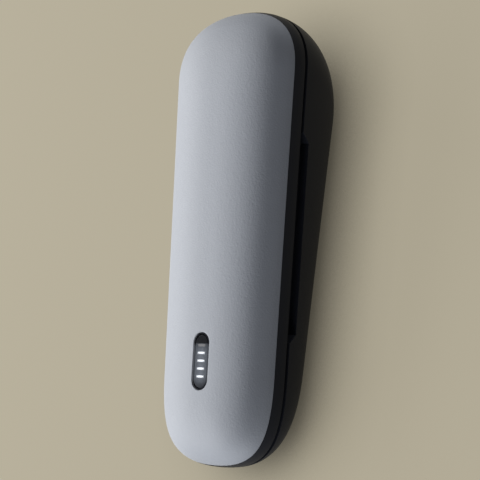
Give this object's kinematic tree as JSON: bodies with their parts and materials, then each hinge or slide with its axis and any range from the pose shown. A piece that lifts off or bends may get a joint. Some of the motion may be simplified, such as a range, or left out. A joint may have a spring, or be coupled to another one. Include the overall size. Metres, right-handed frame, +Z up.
{
  "type": "shaver charging case",
  "caption": "Long clamshell charging case for an electric shaver, with a crowned lid, side hinge, tapered base, charge display and sprung contacts.",
  "frame": {"origin": "middle of the footprint, on the surface that the flat back rests on", "axes": "+Z up out of the lid, +X towards the head end, +Y towards the hinge side"},
  "size_m": [0.2072, 0.0764, 0.0567],
  "materials": {
    "grey_skin": "soft-touch cover with a very fine grain",
    "dark_case": "fine satin moulded plastic",
    "tray": "fine moulded grain",
    "pad": "soft foam rubber",
    "magnet": "nickel plated",
    "screw": "zinc plated",
    "pin_steel": "drawn steel",
    "battery_sleeve": "laminated foil pouch",
    "lead_sleeve": "silicone sleeve",
    "circuit_board": "solder mask",
    "chip": "moulded epoxy",
    "contact_housing": "moulded",
    "spring_steel": "bright wire",
    "inlet_plastic": "moulded",
    "prong_metal": "nickel plated",
    "dark_gloss": "polished",
    "smoked_lens": "satin smoked plastic",
    "lit_bar": "frosted, lit white",
    "unlit_bar": "frosted, unlit",
    "plunger_plastic": "moulded",
    "contact_gold": "gold plated"
  },
  "bodies": {
    "base": {"base_shell": "dark_case", "cradle": "tray", "cradle_pads": "pad", "base_magnets": "magnet", "cradle_screws": "screw", "hinge_pin_foot": "pin_steel", "hinge_pin_head": "pin_steel", "battery_cell": "battery_sleeve", "battery_leads": "lead_sleeve", "charge_board": "circuit_board", "charge_board_parts": "chip", "contact_block": "contact_housing", "contact_spring_left": "spring_steel", "contact_spring_right": "spring_steel", "inlet_socket": "inlet_plastic", "inlet_prongs": "prong_metal"},
    "lid": {"lid_frame": "dark_case", "lid_skin": "grey_skin", "lid_liner": "tray", "lid_pads": "pad", "lid_magnets": "magnet", "liner_screws": "screw", "display_bezel": "dark_gloss", "display_board": "circuit_board", "display_board_screws": "screw", "display_leds": "chip", "switch_body": "chip"},
    "button": {"display_button": "smoked_lens", "charge_bars": "lit_bar", "charge_bar_spare": "unlit_bar", "switch_plunger": "plunger_plastic"},
    "contact_left": {"contact_pin_left": "contact_gold"},
    "contact_right": {"contact_pin_right": "contact_gold"}
  },
  "joints": [
    {"name": "lid_hinge", "type": "hinge", "parent": "base", "child": "lid", "pos_m": [0.00009, 0.03493, 0.03004], "axis": [-0.9945, -0.0173, -0.1033], "range_deg": [0, 110]},
    {"name": "button_press", "type": "slide", "parent": "lid", "child": "button", "axis": [0.1033, 0, -0.9947], "range_m": [0, 0.0005], "stiffness_N_per_m": 1500, "springref_m": -0.0003},
    {"name": "contact_pin_left_press", "type": "slide", "parent": "base", "child": "contact_left", "axis": [-0.9947, 0, -0.1033], "range_m": [0, 0.0016], "stiffness_N_per_m": 300, "springref_m": -0.0008, "deforming": ["contact_spring_left"]},
    {"name": "contact_pin_right_press", "type": "slide", "parent": "base", "child": "contact_right", "axis": [-0.9947, 0, -0.1033], "range_m": [0, 0.0016], "stiffness_N_per_m": 300, "springref_m": -0.0008, "deforming": ["contact_spring_right"]}
  ]
}
